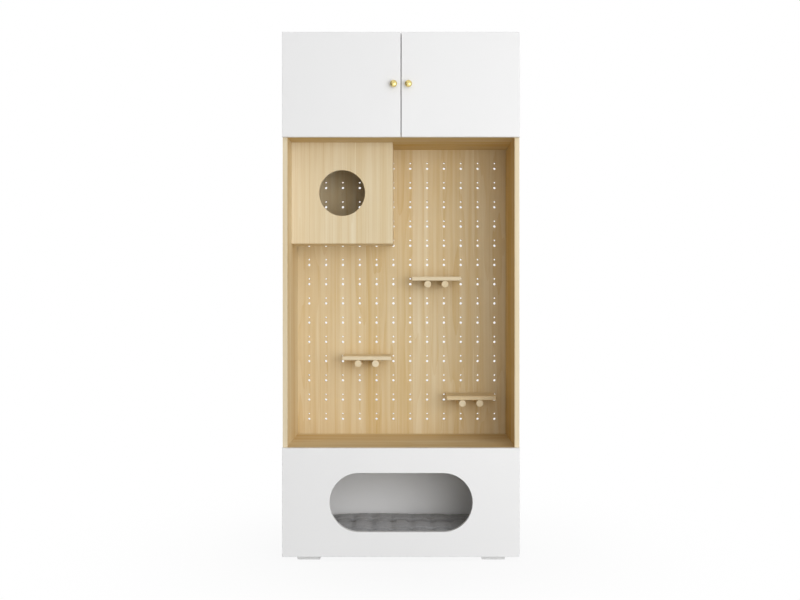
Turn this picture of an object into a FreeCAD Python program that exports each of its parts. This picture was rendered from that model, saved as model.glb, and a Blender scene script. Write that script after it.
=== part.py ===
import FreeCAD, Part
import os
import re

import Sketcher
from FreeCAD import Placement, Rotation, Vector

# Cat cabinet: a white bed box, an open wooden middle with a pegboard back, and a white two-door cupboard.
# Front faces -Y, +X is to the right, +Z is up. The origin is under the middle of the whole cabinet.
doc = FreeCAD.newDocument("cat_cabinet")

# Driving sizes in millimetres.
SIZES = {
    # whole cabinet
    "overall_width": 900,
    "carcass_depth": 379.5,
    "board_thickness": 18,
    "lower_height": 412,
    "middle_height": 1178,
    "upper_height": 397,
    "edge_bevel": 1,
    "cut_overrun": 1,
    # thin back panels in their grooves
    "back_thickness": 6,
    "back_groove_depth": 6,
    "back_groove_setback": 12,
    "groove_clearance": 0.1,
    # loose plywood splines that join the boards
    "spline_thickness": 6,
    "spline_height": 20,
    "spline_seat": 6,
    "spline_inset": 40,
    # feet
    "foot_height": 18,
    "foot_width": 90,
    "foot_taper": 2,
    "foot_side_inset": 53,
    "foot_front_inset": 12,
    "foot_screw_recess": 6,
    "foot_screw_bite": 12,
    # fronts: the doors, the lower panel and its opening
    "front_thickness": 18,
    "opening_width": 542,
    "opening_height": 223,
    # bed cushion
    "cushion_height": 60,
    "cushion_crown": 10,
    "cushion_draw_in": 7,
    "cushion_swell": 8,
    "cushion_shoulder": 26,
    "cushion_clearance": 3,
    "channel_pitch": 78,
    "channel_depth": 9,
    "seam_front_inset": 72,
    "seam_pitch": 159,
    # pegboard
    "column_pitch": 70,
    "row_pitch": 80,
    "column_margin": 40,
    "first_row_height": 61,
    "top_margin": 60,
    "peg_clearance": 0.08,
    # steps
    "step_width": 198,
    "step_depth": 140,
    "step_thickness": 16,
    "step_edge_bevel": 2,
    "seat_gap": 0.3,
    "peg_radius": 14,
    "peg_front_inset": 6,
    "tenon_radius": 5,
    "tenon_length": 17,
    "pin_radius": 3.4,
    "pin_bite": 20,
    "step_screw_recess": 4,
    "step_screw_bite": 10,
    # cubby
    "cubby_width": 398,
    "cubby_height": 398,
    "cubby_setback": 130,
    "cat_hole_radius": 90,
    # doors and knobs
    "door_gap": 3,
    "door_skin": 3,
    "knob_radius": 13.5,
    "knob_length": 25,
    "knob_edge_inset": 26.5,
    "knob_screw_bite": 12,
    # concealed hinges
    "hinge_inset": 90,
    "swing_clearance": 0.35,
    "cup_radius": 17.5,
    "cup_edge": 3,
    "cup_wall": 1,
    "cup_clearance": 0.1,
    "hinge_pin_inset": 7.2,
    "hinge_pin_radius": 1.25,
    "hinge_pin_length": 14,
    "hinge_pin_clearance": 0.05,
    "eye_radius": 2.4,
    "eye_room": 0.6,
    "arm_thickness": 2.4,
    "neck_width": 8,
    "arm_width": 14,
    "lug_gap": 0.5,
    "lug_wall": 0.7,
    "plate_thickness": 6,
    "plate_setback": 20,
    "plate_length": 36,
    "plate_height": 46,
    "plate_screw_spacing": 32,
    "plate_screw_bite": 12,
    # screws
    "screw_radius": 2,
    "screw_head_radius": 3.8,
    "screw_head_height": 2.2,
    "screw_clearance": 0.1,
}

dims = doc.addObject("Spreadsheet::Sheet", "dims")
for row, (alias, number) in enumerate(SIZES.items(), start=1):
    dims.set(f"A{row}", alias)
    dims.set(f"B{row}", str(number))
    dims.setAlias(f"B{row}", alias)
doc.recompute()

ALIAS = re.compile(r"\b(" + "|".join(SIZES) + r")\b")


def formula(text):
    """Point each size named in the text at its cell."""
    return ALIAS.sub(r"dims.\1", text)


def amount(text):
    """The present value of a formula."""
    return float(dims.evalExpression(formula(text)))


def bind(item, **places):
    """Bind properties of an item to formulas."""
    for name, text in places.items():
        item.setExpression(name, formula(text))


def put(item, x, y, z, turn=None):
    """Place an item at formulas, after an optional turn of (axis, degrees)."""
    if turn:
        item.Placement = Placement(Vector(), Rotation(*turn))
    for axis, text in zip("xyz", (x, y, z)):
        item.setExpression(f"Placement.Base.{axis}", formula(text))


# Levels and planes that several pieces share, worked out from the driving sizes.
half_width = "(overall_width / 2)"
inner_width = "(overall_width - 2 * board_thickness)"
inner_half = f"({inner_width} / 2)"
side_middle = "(overall_width / 2 - board_thickness / 2)"
cup_depth = "(front_thickness - door_skin)"
pin_depth = f"({cup_depth} - cup_wall - eye_room - eye_radius)"
front_gap = f"(sqrt(hinge_pin_inset ^ 2 + {pin_depth} ^ 2) - {pin_depth} + swing_clearance)"
back_y = f"((carcass_depth + {front_gap} + front_thickness + knob_length) / 2)"
front_y = f"({back_y} - carcass_depth)"
door_back_y = f"({front_y} - {front_gap})"
peg_face_y = f"({back_y} - board_thickness)"
back_panel_y = f"({back_y} - back_groove_setback - back_thickness)"
bottom_top_z = "(foot_height + board_thickness)"
floor_z = "(foot_height + lower_height)"
floor_under_z = f"({floor_z} - board_thickness)"
ceiling_z = f"({floor_z} + middle_height)"
ceiling_top_z = f"({ceiling_z} + board_thickness)"
top_z = f"({ceiling_z} + upper_height)"
top_under_z = f"({top_z} - board_thickness)"

TURNS = {
    "+Z": None,
    "-Z": (Vector(1, 0, 0), 180),
    "+X": (Vector(0, 1, 0), 90),
    "-X": (Vector(0, 1, 0), -90),
    "+Y": (Vector(1, 0, 0), -90),
    "-Y": (Vector(1, 0, 0), 90),
}
SIDES = {"left": "-1", "right": "1"}
# Small round pieces that repeat are drawn with this many flats.
SCREW_FLATS = 6
LARGE_HOLE_FLATS = 6
SMALL_HOLE_FLATS = 4
PIN_FLATS = 8
PEG_FLATS = 12
CUP_FLATS = 24


# Solids made of Part primitives and booleans.


def block(label, length, width, height, x, y, z):
    """A box from its lowest corner."""
    item = doc.addObject("Part::Box", label)
    bind(item, Length=length, Width=width, Height=height)
    put(item, x, y, z)
    return item


def rod(label, radius, length, x, y, z, along):
    """A cylinder that starts at a point and runs along an axis."""
    item = doc.addObject("Part::Cylinder", label)
    bind(item, Radius=radius, Height=length)
    put(item, x, y, z, TURNS[along])
    return item


def prism(label, flats, radius, length, x, y, z, along):
    """A rod drawn with a few flats."""
    item = doc.addObject("Part::Prism", label)
    item.Polygon = flats
    bind(item, Circumradius=radius, Height=length)
    put(item, x, y, z, TURNS[along])
    return item


def group(label, members):
    """Separate solids that share one node."""
    item = doc.addObject("Part::Compound", label)
    item.Links = members
    return item


def carve(label, base, tools):
    """A base with its holes and grooves cut out."""
    item = doc.addObject("Part::Cut", label)
    item.Base = base
    item.Tool = tools[0]
    if len(tools) > 1:
        item.Tool = doc.addObject("Part::MultiFuse", label + "_cuts")
        item.Tool.Shapes = tools
    return item


def screw(label, length, x, y, z, along):
    """A screw whose head sits on a point and whose shank runs along an axis, and the hole for that shank."""
    back = along.translate(str.maketrans("+-", "-+"))
    item = doc.addObject("Part::Fuse", label)
    item.Base = prism(label + "_head", SCREW_FLATS, "screw_head_radius", "screw_head_height", x, y, z, back)
    item.Tool = prism(label + "_shank", SCREW_FLATS, "screw_radius", length, x, y, z, along)
    bore = "screw_radius + screw_clearance"
    hole = prism(label + "_hole", SCREW_FLATS, bore, f"{length} + screw_clearance", x, y, z, along)
    return item, hole


def screw_recess(label, depth, x, y, z, along):
    """The wider hole that takes a screw's head below the surface."""
    room = "screw_head_radius + screw_clearance"
    return prism(label, SCREW_FLATS, room, f"{depth} + cut_overrun", x, y, z, along)


# Sketches and body features.


def new_body(label):
    return doc.addObject("PartDesign::Body", label)


def sketch_on(body, plane, offset="0"):
    """A sketch on one of the body's own origin planes, moved along the plane's normal."""
    sketch = body.newObject("Sketcher::SketchObject", body.Name + "_sketch")
    support = next(f for f in body.Origin.OriginFeatures if f.Role == plane)
    sketch.AttachmentSupport = [(support, "")]
    sketch.MapMode = "FlatFace"
    sketch.setExpression("AttachmentOffset.Base.z", formula(offset))
    return sketch


def hold(sketch, kind, *where, text):
    """Add a driving constraint and bind it to a formula."""
    index = sketch.addConstraint(Sketcher.Constraint(kind, *where, amount(text)))
    sketch.setExpression(f"Constraints[{index}]", formula(text))


def draw_circle(sketch, radius, x, y):
    circle = Part.Circle(Vector(amount(x), amount(y), 0), Vector(0, 0, 1), amount(radius))
    index = sketch.addGeometry(circle, False)
    hold(sketch, "DistanceX", -1, 1, index, 3, text=x)
    hold(sketch, "DistanceY", -1, 1, index, 3, text=y)
    hold(sketch, "Radius", index, text=radius)


def draw_outline(sketch, points):
    """A closed outline of straight lines through points given as pairs of formulas."""
    spots = [Vector(amount(x), amount(y), 0) for x, y in points]
    first = sketch.GeometryCount
    count = len(points)
    for index, spot in enumerate(spots):
        sketch.addGeometry(Part.LineSegment(spot, spots[(index + 1) % count]), False)
    for index, (x, y) in enumerate(points):
        after = first + (index + 1) % count
        sketch.addConstraint(Sketcher.Constraint("Coincident", first + index, 2, after, 1))
        hold(sketch, "DistanceX", -1, 1, first + index, 1, text=x)
        hold(sketch, "DistanceY", -1, 1, first + index, 1, text=y)


def draw_rectangle(sketch, left, low, width, height):
    right = f"({left} + {width})"
    high = f"({low} + {height})"
    draw_outline(sketch, [(left, low), (right, low), (right, high), (left, high)])


def draw_polygon(sketch, reach, flats, x, y):
    """A regular polygon whose corners lie this far from its centre."""
    turns = [f"({corner} * 360 / {flats})" for corner in range(flats)]
    draw_outline(sketch, [(f"{x} + {reach} * cos{turn}", f"{y} + {reach} * sin{turn}") for turn in turns])


def draw_drilled_hole(sketch, radius, flats, x, y):
    """A hole that a round peg of this radius just fills."""
    draw_polygon(sketch, f"({radius} / cos(180 / {flats}))", flats, x, y)


def draw_stadium(sketch, width, height, x, y):
    """A long opening with half-round ends, about a centre."""
    radius = amount(height) / 2
    reach = amount(width) / 2 - radius
    middle = Vector(amount(x), amount(y), 0)
    up = Vector(0, radius, 0)
    side = Vector(reach, 0, 0)
    out = Vector(radius, 0, 0)
    first = sketch.GeometryCount
    sketch.addGeometry(Part.LineSegment(middle - side - up, middle + side - up), False)
    sketch.addGeometry(Part.Arc(middle + side - up, middle + side + out, middle + side + up), False)
    sketch.addGeometry(Part.LineSegment(middle + side + up, middle - side + up), False)
    sketch.addGeometry(Part.Arc(middle - side + up, middle - side - out, middle - side - up), False)
    for index in range(4):
        after = first + (index + 1) % 4
        sketch.addConstraint(Sketcher.Constraint("Tangent", first + index, 2, after, 1))
    hold(sketch, "Radius", first + 1, text=f"{height} / 2")
    hold(sketch, "DistanceX", -1, 1, first + 1, 3, text=f"{x} + ({width} - {height}) / 2")
    hold(sketch, "DistanceX", -1, 1, first + 3, 3, text=f"{x} - ({width} - {height}) / 2")
    hold(sketch, "DistanceY", -1, 1, first + 1, 3, text=y)
    hold(sketch, "DistanceY", -1, 1, first + 3, 3, text=y)


def pad(body, sketch, length, symmetric=False, reverse=False):
    feature = body.newObject("PartDesign::Pad", body.Name + "_pad")
    feature.Profile = sketch
    feature.SideType = "Symmetric" if symmetric else "One side"
    feature.Reversed = reverse
    bind(feature, Length=length)
    doc.recompute()
    return feature


def pocket(body, sketch, length=None, symmetric=False, reverse=False):
    """Cut a sketch into the body, right through it where no length is given."""
    before = body.Shape.Volume
    feature = body.newObject("PartDesign::Pocket", body.Name + "_pocket")
    feature.Profile = sketch
    feature.SideType = "Symmetric" if symmetric or length is None else "One side"
    feature.Reversed = reverse
    if length is None:
        feature.Type = "ThroughAll"
    else:
        bind(feature, Length=length)
    doc.recompute()
    if body.Shape.Volume >= before:
        raise ValueError(f"{feature.Name} cuts nothing")
    return feature


def turn_body(body, points):
    """Revolve a half profile of (radius, distance along the local Y axis) pairs about that axis."""
    sketch = sketch_on(body, "XY_Plane")
    draw_outline(sketch, points)
    feature = body.newObject("PartDesign::Revolution", body.Name + "_turned")
    feature.Profile = sketch
    feature.ReferenceAxis = (sketch, ["V_Axis"])
    feature.Angle = 360
    doc.recompute()
    return feature


def ease_front(body, size, thickness):
    """Bevel every edge of the body's front face."""
    base = body.Tip
    level = -amount(thickness)
    same_plane = amount(thickness) / 1000
    names = []
    for number, edge in enumerate(base.Shape.Edges, start=1):
        ends = edge.BoundBox
        if max(abs(ends.YMin - level), abs(ends.YMax - level)) < same_plane:
            names.append(f"Edge{number}")
    feature = body.newObject("PartDesign::Chamfer", body.Name + "_eased")
    feature.Base = (base, names)
    bind(feature, Size=size)
    doc.recompute()
    return feature


nodes = []
cuts = {}


def cut_from(name, tool):
    cuts.setdefault(name, []).append(tool)


def finish(name, base):
    """Take a piece into the model under its own name, with the cuts that other pieces need in it."""
    item = carve(name, base, cuts[name]) if name in cuts else base
    item.Label = name
    nodes.append(item)
    return item


# Splines: each is a flat strip let into grooves of two boards, deeper into the board that meets it end on.


def spline(label, owners, length, width, height, x, y, z):
    """A strip glued on its two faces, with clearance at its edges and ends."""
    strip = block(label, length, width, height, x, y, z)
    size = []
    corner = []
    for reach, start in ((length, x), (width, y), (height, z)):
        room = "0" if reach == "spline_thickness" else "groove_clearance"
        size.append(f"{reach} + 2 * {room}")
        corner.append(f"{start} - {room}")
    groove = block(label + "_groove", *size, *corner)
    for owner in owners:
        cut_from(owner, groove)
    return strip


spline_reach = "(spline_height - spline_seat)"
carcass_splines = []
STACK = [
    ("bottom_board", "lower", bottom_top_z, "spline_seat"),
    ("middle_floor", "lower", floor_under_z, spline_reach),
    ("middle_floor", "middle", floor_z, "spline_seat"),
    ("middle_ceiling", "middle", ceiling_z, spline_reach),
    ("middle_ceiling", "upper", ceiling_top_z, "spline_seat"),
    ("top_board", "upper", top_under_z, spline_reach),
]
for side, sign in SIDES.items():
    strip_x = f"{sign} * {side_middle} - spline_thickness / 2"
    for board, level, joint_z, below in STACK:
        carcass_splines.append(
            spline(
                f"{side}_{level}_{board}_spline",
                (board, f"{level}_{side}_side"),
                "spline_thickness",
                "carcass_depth - 2 * spline_inset",
                "spline_height",
                strip_x,
                f"{front_y} + spline_inset",
                f"{joint_z} - {below}",
            )
        )
    inward = "spline_seat" if side == "left" else spline_reach
    carcass_splines.append(
        spline(
            f"{side}_pegboard_spline",
            (f"middle_{side}_side",),
            "spline_height",
            "spline_thickness",
            "middle_height - 2 * spline_inset",
            f"{sign} * {inner_half} - {inward}",
            f"{back_y} - board_thickness / 2 - spline_thickness / 2",
            f"{floor_z} + spline_inset",
        )
    )
    carcass_splines.append(
        spline(
            f"{side}_lower_front_spline",
            ("lower_front_panel", f"lower_{side}_side"),
            "spline_thickness",
            "spline_height",
            "lower_height - 2 * spline_inset",
            strip_x,
            f"{front_y} - spline_seat",
            "foot_height + spline_inset",
        )
    )
finish("carcass_splines", group("carcass_splines", carcass_splines))


# Feet: low square blocks, narrower at the floor, each held by one screw from below.


def build_foot(name, x, y):
    narrow = "((foot_width - 2 * foot_taper) / 2)"
    wide = "(foot_width / 2)"
    foot = doc.addObject("Part::Wedge", name + "_blank")
    bind(foot, Ymin="0", Xmin=f"-{narrow}", Xmax=narrow, Zmin=f"-{narrow}", Zmax=narrow)
    bind(foot, Ymax="foot_height", X2min=f"-{wide}", X2max=wide, Z2min=f"-{wide}", Z2max=wide)
    put(foot, x, y, "0", TURNS["-Y"])
    length = "(foot_height - foot_screw_recess + foot_screw_bite)"
    fastener, hole = screw(name + "_screw", length, x, y, "foot_screw_recess", "+Z")
    recess = screw_recess(name + "_recess", "foot_screw_recess", x, y, "foot_screw_recess", "-Z")
    cut_from(name, hole)
    cut_from(name, recess)
    cut_from("bottom_board", hole)
    finish(name, foot)
    return fastener


foot_screws = []
for end, foot_y in (
    ("front", f"{front_y} + foot_front_inset + foot_width / 2"),
    ("rear", f"{back_y} - foot_front_inset - foot_width / 2"),
):
    for side, sign in SIDES.items():
        foot_x = f"{sign} * ({half_width} - foot_side_inset - foot_width / 2)"
        foot_screws.append(build_foot(f"{end}_{side}_foot", foot_x, foot_y))
finish("foot_screws", group("foot_screws", foot_screws))


# White back panels: thin sheets let into grooves all round, in the bed box and in the cupboard.


def build_back(level, low_board, high_board, low_z, high_z):
    name = f"{level}_back_panel"
    let_in = "(back_groove_depth - groove_clearance)"
    panel = block(
        name + "_sheet",
        f"{inner_width} + 2 * {let_in}",
        "back_thickness",
        f"{high_z} - {low_z} + 2 * {let_in}",
        f"-({inner_half} + {let_in})",
        back_panel_y,
        f"{low_z} - {let_in}",
    )
    groove = block(
        name + "_groove",
        f"{inner_width} + 2 * back_groove_depth",
        "back_thickness",
        f"{high_z} - {low_z} + 2 * back_groove_depth",
        f"-({inner_half} + back_groove_depth)",
        back_panel_y,
        f"{low_z} - back_groove_depth",
    )
    for owner in (low_board, high_board, f"{level}_left_side", f"{level}_right_side"):
        cut_from(owner, groove)
    finish(name, panel)


build_back("lower", "bottom_board", "middle_floor", bottom_top_z, floor_under_z)
build_back("upper", "middle_ceiling", "top_board", ceiling_top_z, top_under_z)


# Lower front panel: a white board on the front edges of the bed box, with a long round-ended opening.
body = new_body("lower_front_blank")
sketch = sketch_on(body, "XZ_Plane")
draw_rectangle(sketch, "0", "0", "overall_width", "lower_height")
draw_stadium(sketch, "opening_width", "opening_height", half_width, "lower_height / 2")
pad(body, sketch, "front_thickness")
ease_front(body, "edge_bevel", "front_thickness")
put(body, f"-{half_width}", front_y, "foot_height")
finish("lower_front_panel", body)


# Pegboard: the wooden back of the middle, drilled with a grid of hole pairs. The small hole of a pair is as
# far above the large one as a step's middle is above its pegs.
pair_rise = "(peg_radius + step_thickness / 2)"
columns = f"(floor(({inner_width} - 2 * column_margin) / column_pitch) + 1)"
rows = "(floor((middle_height - first_row_height - top_margin) / row_pitch) + 1)"
first_column = f"(({inner_width} - ({columns} - 1) * column_pitch) / 2)"
large_hole = "(tenon_radius + peg_clearance)"
small_hole = "(pin_radius + peg_clearance)"

body = new_body("pegboard")
sketch = sketch_on(body, "XZ_Plane")
draw_rectangle(sketch, "0", "0", inner_width, "middle_height")
pad(body, sketch, "board_thickness")
sketch = sketch_on(body, "XY_Plane", "spline_inset - groove_clearance")
groove_depth = f"({spline_reach} + groove_clearance)"
groove_y = "-(board_thickness + spline_thickness) / 2"
draw_rectangle(sketch, "0", groove_y, groove_depth, "spline_thickness")
draw_rectangle(sketch, f"{inner_width} - {groove_depth}", groove_y, groove_depth, "spline_thickness")
pocket(body, sketch, "middle_height - 2 * (spline_inset - groove_clearance)", reverse=True)
sketch = sketch_on(body, "XZ_Plane")
draw_drilled_hole(sketch, large_hole, LARGE_HOLE_FLATS, first_column, "first_row_height")
draw_drilled_hole(sketch, small_hole, SMALL_HOLE_FLATS, first_column, f"first_row_height + {pair_rise}")
hole_pair = pocket(body, sketch)
grid = body.newObject("PartDesign::LinearPattern", "hole_grid")
grid.Originals = [hole_pair]
grid.Direction = (sketch, ["H_Axis"])
grid.Direction2 = (sketch, ["V_Axis"])
grid.Mode = "Spacing"
grid.Mode2 = "Spacing"
bind(grid, Occurrences=columns, Occurrences2=rows, Offset="column_pitch", Offset2="row_pitch")
grid.Spacings2 = [-1.0] * (round(amount(rows)) - 1)
body.Tip = grid
put(body, f"-{inner_half}", back_y, floor_z)
finish("pegboard", body)


# Cubby: a box in the upper left corner of the middle. It borrows the cabinet's side, ceiling and pegboard,
# and adds a front with a round cat hole, a right side and a bottom.
cubby_right = f"(-{inner_half} + cubby_width)"
cubby_low = f"({ceiling_z} - cubby_height)"
cubby_back_y = f"({front_y} + cubby_setback + board_thickness)"
cubby_depth = f"({peg_face_y} - {cubby_back_y})"
strip_low_z = f"{cubby_low} + board_thickness / 2 - spline_thickness / 2"
strip_right_x = f"{cubby_right} - board_thickness / 2 - spline_thickness / 2"
strip_front_y = f"{cubby_back_y} - spline_seat"
strip_inner_y = f"{cubby_back_y} + spline_inset"
strip_depth = f"{cubby_depth} - 2 * spline_inset"
cubby_splines = [
    spline(
        "cubby_front_right_spline",
        ("cubby_front", "cubby_right_side"),
        "spline_thickness",
        "spline_height",
        "cubby_height - 2 * spline_inset",
        strip_right_x,
        strip_front_y,
        f"{cubby_low} + spline_inset",
    ),
    spline(
        "cubby_front_bottom_spline",
        ("cubby_front", "cubby_bottom"),
        "cubby_width - board_thickness - 2 * spline_inset",
        "spline_height",
        "spline_thickness",
        f"-{inner_half} + spline_inset",
        strip_front_y,
        strip_low_z,
    ),
    spline(
        "cubby_corner_spline",
        ("cubby_right_side", "cubby_bottom"),
        "spline_height",
        strip_depth,
        "spline_thickness",
        f"{cubby_right} - board_thickness - {spline_reach}",
        strip_inner_y,
        strip_low_z,
    ),
    spline(
        "cubby_ceiling_spline",
        ("middle_ceiling", "cubby_right_side"),
        "spline_thickness",
        strip_depth,
        "spline_height",
        strip_right_x,
        strip_inner_y,
        f"{ceiling_z} - {spline_reach}",
    ),
    spline(
        "cubby_left_spline",
        ("middle_left_side", "cubby_bottom"),
        "spline_height",
        strip_depth,
        "spline_thickness",
        f"-{inner_half} - spline_seat",
        strip_inner_y,
        strip_low_z,
    ),
]
finish("cubby_splines", group("cubby_splines", cubby_splines))

body = new_body("cubby_front_blank")
sketch = sketch_on(body, "XZ_Plane")
draw_rectangle(sketch, "0", "0", "cubby_width", "cubby_height")
draw_circle(sketch, "cat_hole_radius", "cubby_width / 2", "cubby_height / 2")
pad(body, sketch, "board_thickness")
ease_front(body, "edge_bevel", "board_thickness")
put(body, f"-{inner_half}", cubby_back_y, cubby_low)
finish("cubby_front", body)

panel = block(
    "cubby_right_board",
    "board_thickness",
    cubby_depth,
    "cubby_height",
    f"{cubby_right} - board_thickness",
    cubby_back_y,
    cubby_low,
)
finish("cubby_right_side", panel)
panel = block(
    "cubby_bottom_board",
    "cubby_width - board_thickness",
    cubby_depth,
    "board_thickness",
    f"-{inner_half}",
    cubby_back_y,
    cubby_low,
)
finish("cubby_bottom", panel)


# Steps: a board on two round pegs. The pegs' tenons fill two large holes, and two pins in the board's rear
# edge fill the small holes above them. The whole step pulls straight out of the pegboard.


def build_step(name, column_share, row_share):
    column = f"floor({column_share} * ({columns} - 2) + 0.5)"
    level = f"floor({row_share} * ({rows} - 1) + 0.5)"
    left_x = f"(-{inner_half} + {first_column} + {column} * column_pitch)"
    peg_z = f"({floor_z} + first_row_height + {level} * row_pitch)"
    pin_z = f"({peg_z} + {pair_rise})"
    rear_y = f"({peg_face_y} - seat_gap)"
    peg_length = "(step_depth - peg_front_inset)"
    screw_y = f"({rear_y} - {peg_length} / 2)"
    screw_z = f"({peg_z} - peg_radius + step_screw_recess)"
    screw_length = "(2 * peg_radius - step_screw_recess + step_screw_bite)"
    pegs = []
    pins = []
    screws = []
    for place, shift in (("left", "0"), ("right", "column_pitch")):
        x = f"({left_x} + {shift})"
        label = f"{name}_{place}"
        peg = doc.addObject("Part::Fuse", label + "_peg_blank")
        peg.Base = prism(label + "_peg_rod", PEG_FLATS, "peg_radius", peg_length, x, rear_y, peg_z, "-Y")
        tenon = "tenon_length + seat_gap"
        peg.Tool = prism(label + "_tenon", PIN_FLATS, "tenon_radius", tenon, x, rear_y, peg_z, "+Y")
        fastener, hole = screw(label + "_screw", screw_length, x, screw_y, screw_z, "+Z")
        recess = screw_recess(label + "_recess", "step_screw_recess", x, screw_y, screw_z, "-Z")
        pegs.append(carve(label + "_peg", peg, [hole, recess]))
        screws.append(fastener)
        pin_end = f"{peg_face_y} + tenon_length"
        pin_length = "tenon_length + seat_gap + pin_bite"
        pin = prism(label + "_pin", PIN_FLATS, "pin_radius", pin_length, x, pin_end, pin_z, "-Y")
        pins.append(pin)
        cut_from(f"{name}_board", hole)
        cut_from(f"{name}_board", pin)
    board = new_body(name + "_blank")
    sketch = sketch_on(board, "XZ_Plane")
    draw_rectangle(sketch, "-step_width / 2", "0", "step_width", "step_thickness")
    pad(board, sketch, "step_depth")
    ease_front(board, "step_edge_bevel", "step_depth")
    put(board, f"{left_x} + column_pitch / 2", rear_y, f"{peg_z} + peg_radius")
    finish(f"{name}_board", board)
    finish(f"{name}_pegs", group(f"{name}_pegs", pegs))
    finish(f"{name}_pins", group(f"{name}_pins", pins))
    finish(f"{name}_screws", group(f"{name}_screws", screws))


# Where each step hangs: shares of the way across the columns and up the rows.
STEP_PLACE_SHARES = {
    "upper_step": (0.7, 0.54),
    "middle_step": (0.3, 0.23),
    "lower_step": (0.9, 0.08),
}
for name, shares in STEP_PLACE_SHARES.items():
    build_step(name, *shares)


# Doors, with their knobs and concealed hinges. The door turns about a pin that lies inside a cup let into its
# back, so the pin, the cup and the knob ride on the door, and the arm and its plate stay on the cabinet side.
door_width = "((overall_width - door_gap) / 2)"
cup_inset = "(cup_edge + cup_radius)"
pin_offset = f"({cup_inset} - hinge_pin_inset)"
arm_reach = "(board_thickness - hinge_pin_inset + plate_thickness)"
plate_front = f"({pin_depth} + {front_gap} + plate_setback)"
plate_middle = f"({plate_front} + plate_length / 2)"
HINGE_LEVELS = {"low": f"({ceiling_z} + hinge_inset)", "high": f"({top_z} - hinge_inset)"}
KNOB_PROFILE_SHARES = [(0, 0), (0.46, 0), (0.46, 0.5), (1, 0.5), (1, 1), (0, 1)]


def build_cup(label, x, z, turn):
    """A round steel cup with two lugs that carry the hinge pin near its outer wall."""
    body = new_body(label)
    sketch = sketch_on(body, "XZ_Plane")
    draw_polygon(sketch, "cup_radius", CUP_FLATS, "0", "0")
    pad(body, sketch, cup_depth)
    sketch = sketch_on(body, "XZ_Plane")
    draw_polygon(sketch, "(cup_radius - cup_wall)", CUP_FLATS, "0", "0")
    pocket(body, sketch, f"{cup_depth} - cup_wall", reverse=True)
    sketch = sketch_on(body, "XZ_Plane", f"{cup_depth} - cup_wall")
    lug_start = "(neck_width / 2 + lug_gap)"
    lug_height = f"(hinge_pin_length / 2 - {lug_start})"
    lug_width = "(eye_radius + hinge_pin_radius + lug_wall)"
    for low in (lug_start, "(-hinge_pin_length / 2)"):
        draw_rectangle(sketch, f"({pin_offset} - eye_radius)", low, lug_width, lug_height)
    pad(body, sketch, "eye_room + 2 * eye_radius", reverse=True)
    sketch = sketch_on(body, "XY_Plane")
    draw_polygon(sketch, "hinge_pin_radius", PIN_FLATS, pin_offset, f"-{pin_depth}")
    pocket(body, sketch, "hinge_pin_length", symmetric=True)
    put(body, x, door_back_y, z, turn)
    return body


def build_arm(label, x, y, z, turn):
    """A bent steel arm: an eye on the pin, a neck out of the cup, and a leg back along the cabinet side."""
    body = new_body(label)
    half = "arm_thickness / 2"
    far = f"(-{arm_reach} - arm_thickness)"
    near = f"(-{arm_reach})"
    widening = f"({pin_depth} + {front_gap} + plate_setback / 2)"
    sketch = sketch_on(body, "XY_Plane")
    neck = [("0", f"-{half}"), (far, f"-{half}"), (far, widening), (near, widening), (near, half), ("0", half)]
    draw_outline(sketch, neck)
    pad(body, sketch, "neck_width", symmetric=True)
    sketch = sketch_on(body, "XY_Plane")
    draw_circle(sketch, "eye_radius", "0", "0")
    pad(body, sketch, "neck_width", symmetric=True)
    sketch = sketch_on(body, "XY_Plane")
    draw_rectangle(sketch, far, widening, "arm_thickness", f"{plate_front} + plate_length - {widening}")
    pad(body, sketch, "arm_width", symmetric=True)
    sketch = sketch_on(body, "XY_Plane")
    draw_drilled_hole(sketch, "(hinge_pin_radius + hinge_pin_clearance)", PIN_FLATS, "0", "0")
    pocket(body, sketch)
    put(body, x, y, z, turn)
    return body


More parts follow.
